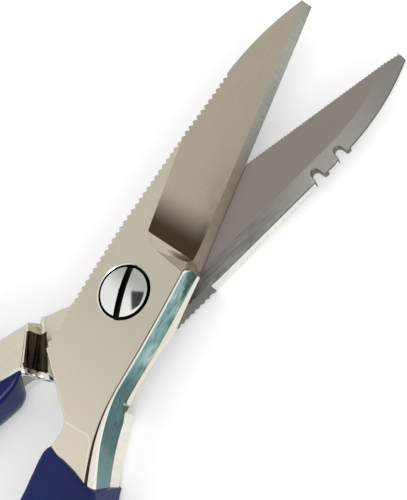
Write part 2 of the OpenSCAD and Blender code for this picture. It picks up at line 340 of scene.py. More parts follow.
class Solid:
    """Vertices in the half's frame and faces that each carry a patch name."""

    def __init__(self):
        self.verts = []
        self.faces = []
        self.patches = []

    def add_verts(self, xy, h):
        start = len(self.verts)
        h = np.broadcast_to(h, (len(xy),))
        self.verts.extend((float(p[0]), float(p[1]), float(q)) for p, q in zip(xy, h))
        return list(range(start, start + len(xy)))

    def add_face(self, ids, patch):
        self.faces.append(ids)
        self.patches.append(patch)

    def bridge(self, low, high, names):
        """Quads between two loops of the same length, with the outside on the left of their travel.
        names is one patch name, or one for each quad."""
        n = len(low)
        for i in range(n):
            j = (i + 1) % n
            self.add_face([low[i], high[i], high[j], low[j]], names if isinstance(names, str) else names[i])


EDGE_CLEARANCE = 0.16
CREASE_CLEARANCE = 0.3


def fill(solid, rings, interior, creases, height, patch_of, up):
    """Triangles over the area inside the first ring and outside the others. A ring is its vertices and
    its loop. interior holds more points, and creases the runs of them that must stay edges."""
    ids = [i for ring, _ in rings for i in ring]
    xy = [tuple(p) for _, loop in rings for p in loop]
    edges = []
    start = 0
    for ring, _ in rings:
        n = len(ring)
        edges += [(start + i, start + (i + 1) % n) for i in range(n)]
        start += n
    outer, holes = rings[0][1], [loop for _, loop in rings[1:]]
    keep = inside(interior, outer) & (distance_to(interior, outer) > EDGE_CLEARANCE)
    for loop in holes:
        keep &= ~inside(interior, loop) & (distance_to(interior, loop) > EDGE_CLEARANCE)
    pts = interior[keep]
    first = len(xy)
    new_ids = solid.add_verts(pts, height(pts))
    ids += new_ids
    xy += [tuple(p) for p in pts]
    index = -np.ones(len(interior), int)
    index[keep] = np.arange(first, first + len(pts))
    for line in creases:
        for a, b in zip(line, line[1:]):
            middle = (interior[a] + interior[b])[None] / 2
            clear = distance_to(middle, outer)[0] > CREASE_CLEARANCE
            if index[a] >= 0 and index[b] >= 0 and clear:
                edges.append((int(index[a]), int(index[b])))
    verts, _, faces, source = delaunay_2d_cdt([Vector(p) for p in xy], edges, [], 0, 1e-6)[:4]
    back = [origin[0] if origin else -1 for origin in source]
    missing = [i for i, b in enumerate(back) if b < 0]
    if missing:
        extra = np.array([tuple(verts[i]) for i in missing])
        for i, point, vertex in zip(missing, extra, solid.add_verts(extra, height(extra))):
            back[i] = len(xy)
            xy.append(tuple(point))
            ids.append(vertex)
    tris = np.array([[back[i] for i in f] for f in faces])
    flat = np.array(xy)
    centre = flat[tris].mean(1)
    ok = inside(centre, outer)
    for loop in holes:
        ok &= ~inside(centre, loop)
    tris, centre = tris[ok], centre[ok]
    names = patch_of(centre)
    for t, name in zip(tris, names):
        a, b, c = flat[t]
        area = (b[0] - a[0]) * (c[1] - a[1]) - (b[1] - a[1]) * (c[0] - a[0])
        order = [ids[i] for i in t]
        if (area > 0) != (up > 0):
            order.reverse()
        solid.add_face(order, name)


# patches that meet in a sharp edge, even at a small angle
HARD_PATCHES = ("flat", "ground", "bevel", "lip", "plunge", "shank", "inner", "band", "swell")


def make_object(name, solid, place, materials, slot_of, smooth_angle=28):
    """A mesh object from a solid. slot_of gives a patch's material, which gets its own slot."""
    mesh = bpy.data.meshes.new(name)
    co = [place @ Vector(v) * MM for v in solid.verts]
    mesh.from_pydata(co, [], solid.faces)
    names = sorted(set(slot_of(p) for p in solid.patches))
    for n in names:
        mesh.materials.append(materials[n])
    mesh.polygons.foreach_set("material_index", [names.index(slot_of(p)) for p in solid.patches])
    mesh.polygons.foreach_set("use_smooth", [True] * len(mesh.polygons))
    bm = bmesh.new()
    bm.from_mesh(mesh)
    patch_of = bm.faces.layers.int.new("patch")
    order = sorted(set(solid.patches))
    hard = {order.index(n): i + 1 for i, n in enumerate(HARD_PATCHES) if n in order}
    bm.faces.ensure_lookup_table()
    for face, patch in zip(bm.faces, solid.patches):
        face[patch_of] = order.index(patch)
    bmesh.ops.remove_doubles(bm, verts=bm.verts, dist=2e-6)
    limit = math.radians(smooth_angle)
    slight = 0.03
    for e in bm.edges:
        if len(e.link_faces) != 2:
            continue
        angle = e.calc_face_angle(0)
        a, b = (hard.get(f[patch_of], 0) for f in e.link_faces)
        e.smooth = not (angle > limit or (a and b and a != b and angle > slight))
    bm.to_mesh(mesh)
    bm.free()
    obj = add_object(name, mesh)
    weigh = obj.modifiers.new("normals", "WEIGHTED_NORMAL")
    weigh.keep_sharp = True
    return obj


# ---------------------------------------------------------------- height fields of a half
STEP_FILLET_R = 3.0
STEP_ROUND_R = 1.5
STEP_WALL = 0.1
STEP_FILLET_MIN = 1.5
STEP_TURN = math.atan(STEP_SLOPE)
LOW_SLOPE = (SHANK_DROP - BOW_HALF_T) / (RIDGE_Y - 1 - BOW_START_Y)
HIGH_SLOPE = (HALF_T - BOW_HALF_T) / (RIDGE_Y - BOW_START_Y)
GRIND_X = -3.1
GRIND_Y = 16.1
GRIND_TURN = (GRIND_X + BACK_TIP_X) / (42 - GRIND_Y)
GRIND_POWER = 1.25
RUNOUT = 6.5
RUNOUT_RISE = 0.75
CUT_X = 11.5
CUT_Y = 10.76
CUT_FOOT_Y = 12.7
BAND_W = 4.3
BAND_FALL = 1.0
BORE_R = SHANK_D / 2 + 0.05
BORE_BEVEL = 0.22
NUT_BORE_R = 6.55
NUT_SEAT_H = HALF_T - 3.6
LIP_SHARE = 0.72
LIP_FALL = 0.55


def grind_x(y):
    return GRIND_X - GRIND_TURN * (y - GRIND_Y)


def bevel_x(y):
    return edge_x(y) - BEVEL_W


def flat_end_y(x):
    """Where the flat outer face ends above the blade."""
    d = np.clip(CUT_X - x, 0, 14.3)
    return CUT_Y + 0.195 * d + 1.35 * (d / 13.7) ** 8


def blade_start_y(x):
    """The foot of the shoulder, where the ground face starts."""
    across = 15.7 - 0.068 * (x + 1.2)
    turn = np.clip((x - 10.3) / 1.6, 0, 1)
    return across + turn * (CUT_FOOT_Y - across)


def lip_share(x):
    """The share of the shoulder's width that is its rounded lip."""
    return np.clip((x - 1.9) / 8.5, 0, 1) * LIP_SHARE


def shoulder_u(x, y):
    """How far across the shoulder a point is: 0 at the flat face, 1 at the ground face."""
    y0, y1 = flat_end_y(x), blade_start_y(x)
    return np.clip((y - y0) / np.maximum(y1 - y0, 0.05), 0, 1)


def blade_h(x, y):
    """Outer side of the blade: flat strip, hollow-ground face and bevel."""
    top = strip_h(y)
    xg, xb = grind_x(y), bevel_x(y)
    k = np.clip((xb - x) / (xb - xg), 0, 1)
    ground = BEVEL_H + (top - BEVEL_H) * k ** GRIND_POWER
    bevel = BEVEL_H * (edge_x(y) - x) / BEVEL_W
    h = np.where(x < xg, top, np.where(x < xb, ground, bevel))
    rise = RUNOUT_RISE * np.clip(1 - (y - blade_start_y(x)) / RUNOUT, 0, 1) ** 2
    rise = rise * np.clip((x - xg) / 3, 0, 1)
    return np.minimum(h + rise * np.clip((edge_x(y) - x) / BEVEL_W, 0, 1), top)


def outer_h(p):
    """Height of the outer face over the contact plane."""
    x, y = p[:, 0], p[:, 1]
    blade = blade_h(x, y)
    u, lip = shoulder_u(x, y), lip_share(x)
    before = LIP_FALL * lip * (u / np.maximum(lip, 1e-3)) ** 1.8
    v = np.clip((u - lip) / (1 - lip), 0, 1)
    after = LIP_FALL * lip + (1 - LIP_FALL * lip) * (0.35 * v + 0.65 * v * v * (3 - 2 * v))
    fallen = np.where(u < lip, before, after)
    h = np.where(y > flat_end_y(x), blade + (HALF_T - blade) * (1 - fallen), HALF_T)
    below = np.minimum(ridge_offset(p), 0)
    drop = HIGH_SLOPE * (np.maximum(y, BOW_START_Y) - RIDGE_Y)
    slope, beside = HALF_T + drop, HALF_T + 0.6 * drop
    shank = np.where(below < 0, np.maximum(slope, beside + 0.14 * below), beside)
    h = np.where(y < RIDGE_Y, np.where(y < COAT_START_Y - 4, slope, shank), h)
    return np.maximum(h, LOW_H + 0.08)


def step_v(x, y):
    """Distance in front of the closing step."""
    return (y + STEP_Y) * math.cos(STEP_TURN) - x * math.sin(STEP_TURN)


def step_radius(x):
    """The step's fillet, which tightens towards the outer wall."""
    return STEP_FILLET_R - (STEP_FILLET_R - STEP_FILLET_MIN) * np.clip((x - 3) / 9, 0, 1)


def crown_radius(fr):
    """The radius of the step's crown, next to a fillet of radius fr."""
    return STEP_ROUND_R * fr / STEP_FILLET_R + 0.3


def shank_low(y):
    """The level of the contact side behind the step."""
    return -SHANK_DROP + LOW_SLOPE * np.clip(RIDGE_Y - 1 - y, 0, RIDGE_Y - 1 - BOW_START_Y)


def contact_h(p):
    """Height of the contact side."""
    x, y = p[:, 0], p[:, 1]
    v = step_v(x, y)
    fr = step_radius(x)
    rr = crown_radius(fr)
    a = np.clip(-v / fr, 0, 1)
    fillet = LOW_H - fr + fr * np.sqrt(1 - a * a)
    t = np.clip((-v - fr - STEP_WALL) / rr, 0, 1)
    foot_h = LOW_H - fr
    crown_h = -SHANK_DROP + rr
    wall = foot_h + (crown_h - foot_h) * np.clip((-v - fr) / STEP_WALL, 0, 1)
    h = np.where(v > -fr, fillet, wall - rr * np.sqrt(1 - (1 - t) ** 2))
    h = np.maximum(h, shank_low(y))
    d = back_distance(x, y)
    fall = BAND_FALL * np.clip(1 - d / BAND_W, 0, 1) * np.clip((y - 12) / 6, 0, 1)
    return np.where(y > 0, h + fall, h)


def line(points, step):
    """A polyline through the given points, resampled."""
    out = [tuple(points[0])]
    for a, b in zip(points, points[1:]):
        out += segment(a, b, step)
    return np.array(out)


def step_line(fillets, past, rounds):
    """A line behind the step's start, by so many fillet radii and crown radii."""
    x = np.arange(-14, 26, 1.0)
    fr = step_radius(x)
    v = -fillets * fr - past - rounds * crown_radius(fr)
    y = (v + x * math.sin(STEP_TURN)) / math.cos(STEP_TURN) - STEP_Y
    return np.stack([x, y], 1)


def grid(x0, x1, y0, y1, step):
    """A staggered grid of points."""
    xs = np.arange(x0, x1, step)
    rows = [np.stack([xs + (i % 2) * step / 2, np.full(len(xs), y)], 1)
            for i, y in enumerate(np.arange(y0, y1, step * 0.87))]
    return np.concatenate(rows)


def spread(lines, grids):
    """Interior points: the creases, then each grid where it is clear of the points before it. Returns
    them and each crease's indices."""
    pts = np.concatenate(lines)
    index_lines = np.split(np.arange(len(pts)), np.cumsum([len(one) for one in lines])[:-1])
    for cloud, clear in grids:
        blocks = [cloud[start:start + 1500, None] for start in range(0, len(cloud), 1500)]
        away = np.concatenate([np.hypot(*np.moveaxis(block - pts, 2, 0)).min(1) for block in blocks])
        pts = np.concatenate([pts, cloud[away > clear]])
    return pts, index_lines


# the crease where the shank leaves the flat outer face, from the neck to the outer wall
RIDGE = ((2.6, RIDGE_Y - 0.4), (11.6, RIDGE_Y + 0.2), (12.9, RIDGE_Y - 0.6), (14.0, -36.0),
         (17.0, -42.5), (17.4, -44.0))
# a strip this wide along the ridge takes the pale rim steel, a painted highlight line
RIDGE_W = 0.45


def ridge_offset(p):
    """Distance from the shank's ridge line, negative on the side towards the grip."""
    best = np.full(len(p), 1e9)
    for a, b in zip(RIDGE, RIDGE[1:]):
        a, b = np.array(a), np.array(b)
        d = b - a
        t = np.clip(((p - a) @ d) / (d @ d), 0, 1)
        r = p - (a + t[:, None] * d)
        side = np.sign(d[0] * r[:, 1] - d[1] * r[:, 0])
        dist = np.hypot(r[:, 0], r[:, 1]) * side
        best = np.where(np.abs(dist) < np.abs(best), dist, best)
    return best


def ridge_line(offset):
    """The ridge line moved sideways."""
    out = []
    pts = np.array(RIDGE)
    for i, p in enumerate(pts):
        d = pts[min(i + 1, len(pts) - 1)] - pts[max(i - 1, 0)]
        d /= np.linalg.norm(d)
        out.append(tuple(p + offset * np.array([-d[1], d[0]])))
    return line(out, 0.6)


def outer_points():
    ys = np.arange(14.4, 95, 0.9)
    xs = np.arange(-3.6, 11.9, 0.45)
    lip_x = np.arange(2.2, 10.5, 0.5)
    y0, y1 = flat_end_y(lip_x), blade_start_y(lip_x)
    lines = [
        np.stack([grind_x(ys[ys > 16]), ys[ys > 16]], 1),
        np.stack([bevel_x(ys), ys], 1),
        np.stack([xs, flat_end_y(xs)], 1),
        np.stack([xs[xs > -2.6], blade_start_y(xs[xs > -2.6])], 1),
        np.stack([lip_x, y0 + lip_share(lip_x) * (y1 - y0)], 1),
        ridge_line(RIDGE_W / 2), ridge_line(-RIDGE_W / 2)]
    clouds = [(grid(-5, 13, 10, 24, 0.62), 0.36), (grid(-14, 44, -137, 92, 2.1), 1.0)]
    return spread(lines, clouds)


def contact_points():
    angles = np.radians(np.arange(0, 91, 11.25))
    lines = [step_line(math.sin(a), 0, 0) for a in angles]
    lines += [step_line(1, STEP_WALL, 1 - math.cos(a)) for a in angles]
    ys = np.concatenate([np.arange(12, 50, 1.0), np.arange(50, 88, 0.8)])
    lines.append(np.array([back_point(y, BAND_W) for y in ys]))
    clouds = [(grid(-14, 44, -137, 92, 2.1), 1.0)]
    return spread(lines, clouds)


def outer_patch(c):
    x, y = c[:, 0], c[:, 1]
    name = np.full(len(c), "flat", dtype=object)
    blade = y > blade_start_y(x)
    name[blade & (x > grind_x(y))] = "ground"
    name[blade & (x > bevel_x(y))] = "bevel"
    between = (y > flat_end_y(x)) & ~blade & (x > grind_x(y) - 0.4)
    on_lip = shoulder_u(x, y) < lip_share(x)
    name[between & on_lip] = "lip"
    name[between & ~on_lip] = "plunge"
    side = ridge_offset(c)
    name[(y < RIDGE_Y + 0.5) & (side < -RIDGE_W / 2)] = "shank"
    name[(y < RIDGE_Y + 0.5) & (np.abs(side) <= RIDGE_W / 2)] = "ridge"
    return name


def contact_patch(c):
    x, y = c[:, 0], c[:, 1]
    v = step_v(x, y)
    name = np.full(len(c), "inner", dtype=object)
    name[(v < 0) & (x < 12.2)] = "step"
    fr = step_radius(x)
    name[v < -fr - STEP_WALL - 0.45 * crown_radius(fr)] = "swell"
    name[(back_distance(x, y) < BAND_W) & (y > 12.5)] = "band"
    return name


def smooth_loop(values, passes):
    """Evens out values that run round a loop, in their last direction."""
    for _ in range(passes):
        values = (np.roll(values, 1, -1) + 2 * values + np.roll(values, -1, -1)) / 4
    return values


# the rounding of the outline's outer and contact edges, by stretch: inwards and up
TOP_RIM = {"edge": (0.02, 0.02), "wall": (0.6, 0.35), "bow": (1.5, 1.5), "neck": (0.45, 0.4),
           "teeth": (0.1, 0.1), "back": (0.14, 0.14), "notch": (0.14, 0.14), "tip": (0.1, 0.1)}
LOW_RIM = {"edge": (0.01, 0.01), "wall": (0.2, 0.15), "bow": (1.5, 1.5), "neck": (0.9, 0.8),
           "teeth": (0.1, 0.1), "back": (0.25, 0.2), "notch": (0.2, 0.16), "tip": (0.05, 0.05)}
# the rounding in the same terms of the swell's foot, of the neck's contact edge and of the rear
# half's oval neck, and the rear notches' largest
SWELL_RIM = (0.8, 0.9)
NECK_RIM = (1.8, 2.0)
OVAL_NECK = (3.4, 6.5)
NOTCH_RIM = (0.2, 1.2)
SWELL_Y = -24.0
NECK_RIM_Y = -30.0
# the rear half's back is chamfered down to this height
CHAMFER_W = 2.0
CHAMFER_H = 3.2
# the wall's outer edge gets rounder towards the vinyl
RIM_GROWTH_Y = (-41.0, -22.0)
RIM_GROWTH = 1.6
# how far the outer wall's foot stands out, along the wall
FRONT_FOOT = ((-42.0, 0.5), (-32.0, 0.65), (-29.0, 0.4), (-26.2, 0.1), (-24.8, 0.4), (-22.9, 0.95),
              (-21.0, 0.85), (-17.0, 0.6), (-11.5, 0.75), (-8.2, 0.95), (-3.0, 1.75), (3.0, 1.15),
              (12.5, 0.55))
REAR_FOOT = ((-42.0, 0.5), (-36.0, 0.9), (-32.0, 1.15), (-28.0, 1.4), (-24.2, 1.3), (-23.4, 2.3),
             (-22.5, 3.6), (-20.5, 2.8), (-17.1, 1.5), (-14.6, 0.3), (-11.5, 0.6), (12.5, 0.55))
# the foot's height over the contact face's edge, and on the wall its top by place along the wall
FOOT_H = 0.8
FOOT_TOP = ((-27.0, -1.65), (-22.0, 0.75))
# the steel keeps this far back inside the vinyl round the finger opening
OPENING_SLACK = 0.9


def roundings(tags, y, rear):
    """The rounding, inwards and up, of each outline point's outer edge and of its contact edge."""
    def tagged(*names):
        return np.array([t in names for t in tags])

    edge, wall = tagged("edge"), tagged("wall")
    neck = tagged("neck") & (y < NECK_RIM_Y)
    top, low = (smooth_loop(np.array([table[t] for t in tags]).T, 1) for table in (TOP_RIM, LOW_RIM))
    top[:, edge] = TOP_RIM["edge"][0]
    if rear:
        back, notch = tagged("back", "notch", "tip", "teeth"), tagged("notch")
        share = np.clip((y + 24) / 6, 0, 1) * np.clip((TIP_Y - y) / 4, 0.2, 1)
        chamfer = np.stack([CHAMFER_W * share, (share * (strip_h(y) - 0.05 - CHAMFER_H)).clip(0)])
        top[:, back] += chamfer[:, back]
        top[0, notch] = NOTCH_RIM[0]
        top[1, notch] = np.minimum(top[1, notch], NOTCH_RIM[1])
        top = smooth_loop(top, 3)
        top[:, edge] = TOP_RIM["edge"][0]
        top[:, neck] = np.array([OVAL_NECK]).T
        top = smooth_loop(top, 4)
    top[:, wall] += (RIM_GROWTH * np.interp(y, RIM_GROWTH_Y, (1, 0)))[wall]
    low[:, edge] = LOW_RIM["edge"][0]
    low[:, wall & (y < SWELL_Y)] = np.array([SWELL_RIM]).T
    low[:, neck] = np.array([NECK_RIM]).T
    low = smooth_loop(low, 2)
    low[:, edge] = LOW_RIM["edge"][0]
    return top, low


def rim(s, base, normals, surface, rounding, steps, up, names, last=None):
    """Rings round an edge, from the side wall to a face: the wall's ring, the face's ring, its loop."""
    rings = []
    for k in range(steps + 1):
        a = math.pi / 2 * k / steps
        inset = base + normals * (rounding[0] * (1 - math.cos(a)))[:, None]
        h = surface(inset) - up * rounding[1] * (1 - math.sin(a))
        rings.append((s.add_verts(inset, h), inset))
    for k, ((a, _), (b, _)) in enumerate(zip(rings, rings[1:])):
        if up < 0:
            a, b = b, a
        s.bridge(a, b, last if last and k == steps - 1 else names)
    return rings[0][0], rings[-1][0], rings[-1][1]


def half_sides(s, rear):
    """The sides of a half with their rounded edges. Returns the ring and loop of each face's border."""
    outline = half_outline(rear)
    loop = np.array([p for p, _ in outline])
    y = loop[:, 1]
    under_coat = (y > COAT_START_Y - 5) & (loop[:, 0] > SHANK_X - 4)
    tags = ["wall" if t == "bow" and under else t for (_, t), under in zip(outline, under_coat)]
    wall = np.array([t == "wall" for t in tags])
    normals = inward_normals(loop)
    flare = np.where(wall, np.interp(y, *zip(*(REAR_FOOT if rear else FRONT_FOOT))), 0)
    foot = loop - normals * flare[:, None]

    rim_names, foot_names, side_names = ([kind + t for t in tags] for kind in ("rim_", "foot_", "side_"))
    # the last strip of the wall's top rim, next to the face, takes a dark steel: a painted dark reflection
    # beside the wall's edge
    painted_dark_line_names = ["seam" if w else name for w, name in zip(wall, rim_names)]
    low_side_names = ["foot_wall" if w else name for w, name in zip(wall, side_names)]
    top, low = roundings(tags, y, rear)
    top_wall, *top_border = rim(s, loop, normals, outer_h, top, 4, 1, rim_names, painted_dark_line_names)
    low_wall, *low_border = rim(s, foot, normals, contact_h, low, 4, -1, foot_names)
    low_h = np.array([s.verts[i][2] for i in low_wall])
    top_h = np.array([s.verts[i][2] for i in top_wall])
    foot_top = np.where(wall, np.interp(y, *zip(*FOOT_TOP)), low_h + FOOT_H)
    middle = s.add_verts(loop, np.clip(foot_top, low_h, 0.5 * (top_h + low_h)))
    s.bridge(low_wall, middle, low_side_names)
    s.bridge(middle, top_wall, side_names)
    return top_border, low_border


def half_solid(rear):
    """One steel half, in its closed frame."""
    s = Solid()
    top_border, low_border = half_sides(s, rear)
    if rear:
        mouth_r = NUT_BORE_R
        steps = [(NUT_BORE_R, NUT_SEAT_H, "bore"), (BORE_R, NUT_SEAT_H, "bore")]
    else:
        mouth_r = HEAD_BORE_D / 2 + BORE_BEVEL
        steps = [(HEAD_BORE_D / 2, HALF_T - BORE_BEVEL, "bore_rim"), (HEAD_BORE_D / 2, SEAT_H, "bore"),
                 (BORE_R, SEAT_H, "bore")]
    opening = bow_opening(-OPENING_SLACK, 14)
    tops = [(s.add_verts(hole, outer_h(hole)), hole) for hole in (opening, circle(mouth_r))]
    lows = [(s.add_verts(hole, contact_h(hole)), hole) for hole in (opening, circle(BORE_R))]
    s.bridge(lows[0][0], tops[0][0], "side_bow")
    above = tops[1][0]
    for r, h, name in steps:
        ring = s.add_verts(circle(r), h)
        s.bridge(ring, above, name)
        above = ring
    s.bridge(lows[1][0], above, "bore")
    fill(s, [top_border, *tops], *outer_points(), outer_h, outer_patch, 1)
    fill(s, [low_border, *lows], *contact_points(), contact_h, contact_patch, -1)
    return s


# ---------------------------------------------------------------- vinyl grips
COAT_SINK = 0.25
COAT_SWELL = 0.02


def coat_top(p):
    """The coat's outer side, which gets a little thicker towards its end."""
    y = np.maximum(p[:, 1], BOW_START_Y)
    bow_top = HALF_T - COAT_SINK + HIGH_SLOPE * (y - RIDGE_Y)
    return bow_top + COAT_T + COAT_SWELL * (y - BOW_START_Y)


def coat_low(p):
    return shank_low(p[:, 1]) - COAT_T


# how far the coat's end leans forward per millimetre down, beside the neck and at the outer wall
NECK_SLANT = 0.55
WALL_SLANT = 0.15
NECK_LEAN_X = (4.7, 6.9)
# the lean fades out over this length of the coat, whose end sags backwards at the outer wall
DIP_FADE = 11.0
DIP_SAG = 1.6
# the share of the lean that goes sideways, to keep the coat's end on the shank's outer curve
DIP_SIDEWAYS = (-0.03, 0.45)
DIP_X = (4.0, 19.8)
# the coat's rounding, inwards and up: at its end, just behind it, along the bow, at the finger
# opening, and beside the rear bow's inner leg as far as a place along it
END_ROUND = (0.9, 0.8)
START_ROUND = (1.6, 1.8)
BOW_ROUND = (3.6, 4.5)
HOLE_ROUND = (2.6, 3.2)
OVAL_LEG = (3.5, 6.0)
OVAL_LEG_Y = -110.0


def slant_end(v):
    """Leans the coat's end, which reaches further forward on the contact side."""
    x, y, h = v
    near = np.interp(y, (COAT_START_Y - DIP_FADE, COAT_START_Y), (0, 1))
    turn = np.interp(x, NECK_LEAN_X, (0, 1))
    slant = NECK_SLANT + (WALL_SLANT - NECK_SLANT) * turn * turn * (3 - 2 * turn)
    sag = DIP_SAG * np.interp(x, (9, 18), (0, 1))
    shift = near * ((HALF_T + COAT_T - h) * slant - sag)
    return (x - shift * np.interp(x, DIP_X, DIP_SIDEWAYS), y + shift, h)


def vinyl_patch(c):
    return ["vinyl"] * len(c)


def grip_solid(oval):
    """One dipped grip, in its half's closed frame. oval rounds the edge beside the bow's inner leg."""
    s = Solid()
    outer_corner, inner_corner = (SHANK_X + COAT_T, COAT_START_Y), (4.1, COAT_START_Y)
    inner = [(LEG_X - COAT_T, -47.5), (2.45, -45), (2.7, -43), (3.3, -41.8), inner_corner]
    across = segment(inner_corner, outer_corner, 0.8)[:-1]
    loop = np.concatenate([[outer_corner], bow_outline(COAT_T, 40), inner, across])
    end = np.zeros(len(loop), bool)
    end[-len(across) - 1:] = True
    end[0] = True
    behind = COAT_START_Y - loop[:, 1]
    low = [smooth_loop(np.where(end, at_end, np.interp(behind, (1, 17), (start, bow))), 2)
           for at_end, start, bow in zip(END_ROUND, START_ROUND, BOW_ROUND)]
    normals = inward_normals(loop)
    leg = (loop[:, 0] < NECK[0] + 1) & (loop[:, 1] > OVAL_LEG_Y) & oval
    top = [smooth_loop(np.where(leg, oval_r, r), 3) for oval_r, r in zip(OVAL_LEG, low)]
    hole = bow_opening(COAT_T, 36)
    hole_normals = inward_normals(hole)
    hole_rounding = [np.full(len(hole), r) for r in HOLE_ROUND]
    points, creases = spread([line([(4, BOW_START_Y), (24, BOW_START_Y)], 1.0)],
                             [(grid(0, 48, -138, -40, 2.0), 0.9)])
    walls = []
    for surface, rounding, up in ((coat_top, top, 1), (coat_low, low, -1)):
        outer_wall, *border = rim(s, loop, normals, surface, rounding, 8, up, "vinyl")
        hole_wall, *hole_border = rim(s, hole, hole_normals, surface, hole_rounding, 8, up, "vinyl")
        fill(s, [border, hole_border], points, creases, surface, vinyl_patch, up)
        walls.append((outer_wall, hole_wall))
    for top_wall, low_wall in zip(*walls):
        s.bridge(low_wall, top_wall, "vinyl")
    s.verts = [slant_end(v) for v in s.verts]
    return s


# ---------------------------------------------------------------- lathe and screw
def lathe(name, profile, steps):
    """A closed turned form from (radius, z) points, first and last on the axis."""
    bm = bmesh.new()
    rings = []
    for r, z in profile:
        angles = [2 * math.pi * i / steps for i in range(steps if r else 1)]
        rings.append([bm.verts.new((r * math.cos(a) * MM, r * math.sin(a) * MM, z * MM)) for a in angles])
    for a, b in zip(rings, rings[1:]):
        for i in range(steps):
            j = (i + 1) % steps
            corners = [a[i % len(a)], a[j % len(a)], b[j % len(b)], b[i % len(b)]]
            bm.faces.new(list(dict.fromkeys(corners)))
    bmesh.ops.recalc_face_normals(bm, faces=bm.faces)
    return mesh_object(name, bm)


def slot_cutter(top):
    """A block as wide as the slot, which runs across the head at the slot's angle."""
    bm = bmesh.new()
    size = Matrix.Diagonal((2 * HEAD_D, SLOT_W, 4, 1))
    move = Matrix.Rotation(math.radians(SLOT_ANGLE), 4, "Z") @ Matrix.Translation((0, 0, top))
    bmesh.ops.create_cube(bm, size=1, matrix=Matrix.Scale(MM, 4) @ move @ size)
    return mesh_object("slot_cutter", bm)


def apply_modifiers(obj):
    """Swaps an object's mesh for the one that its modifiers give."""
    graph = bpy.context.evaluated_depsgraph_get()
    mesh = bpy.data.meshes.new_from_object(obj.evaluated_get(graph))
    obj.modifiers.clear()
    obj.data = mesh


def pivot_screw():
    """The screw: a domed head with a slot, on a shank that ends in the nut."""
    under = HALF_T + SEAT_H + WASHER_T
    top = under + HEAD_T
    r = HEAD_D / 2
    dome_h = DOME_H - 0.1
    profile = [(q, top + dome_h * (1 - (q / r) ** 2)) for q in np.linspace(0, r - 0.35, 15).tolist()]
    rim_z = profile[-1][1]
    profile += [(r - 0.12, rim_z - 0.12), (r, rim_z - 0.36), (r, under + 0.25), (r - 0.25, under),
                (SHANK_D / 2, under), (SHANK_D / 2, SHANK_END_Z + 0.5), (SHANK_D / 2 - 0.5, SHANK_END_Z),
                (0, SHANK_END_Z)]
    head = lathe("pivot_screw_head", profile, 128)
    cutter = slot_cutter(top + DOME_H + 0.1)
    cut = head.modifiers.new("slot", "BOOLEAN")
    cut.object = cutter
    cut.operation = "DIFFERENCE"
    cut.solver = "EXACT"
    apply_modifiers(head)
    bevel = head.modifiers.new("edges", "BEVEL")
    bevel.width = 0.13 * MM
    bevel.segments = 2
    bevel.limit_method = "ANGLE"
    bevel.angle_limit = math.radians(50)
    apply_modifiers(head)
    bpy.data.objects.remove(cutter)
    head.data.polygons.foreach_set("use_smooth", [True] * len(head.data.polygons))
    sharpen(head.data, 35)
    return head


def sharpen(mesh, angle):
    """Marks the edges that bend by more than the angle as sharp."""
    bm = bmesh.new()
    bm.from_mesh(mesh)
    for e in bm.edges:
        e.smooth = not (len(e.link_faces) == 2 and e.calc_face_angle(0) > math.radians(angle))
    bm.to_mesh(mesh)
    bm.free()


def darken_slot(mesh):
    """Paints shade into the slot: gives the slot's floor and sides, and every low face that looks up, the
    bore's dark material.
    """
    mesh.materials.append(materials["screw"])
    mesh.materials.append(materials["bore"])
    turn = math.radians(SLOT_ANGLE)
    across = Vector((-math.sin(turn), math.cos(turn), 0))
    floor_below = (HALF_T + SEAT_H + WASHER_T + HEAD_T - 0.5) * MM
    for face in mesh.polygons:
        floor = face.normal.z > 0.9 and face.center.z < floor_below
        side = abs(face.normal.dot(across)) > 0.9 and abs(face.center.dot(across)) < SLOT_W * 0.52 * MM
        if floor or side:
            face.material_index = 1


# ---------------------------------------------------------------- materials
def linear(r, g, b):
    """A colour given as 0 to 255 screen values, in linear light."""
    def one(v):
        v /= 255
        return v / 12.92 if v <= 0.04045 else ((v + 0.055) / 1.055) ** 2.4
    return (one(r), one(g), one(b), 1.0)


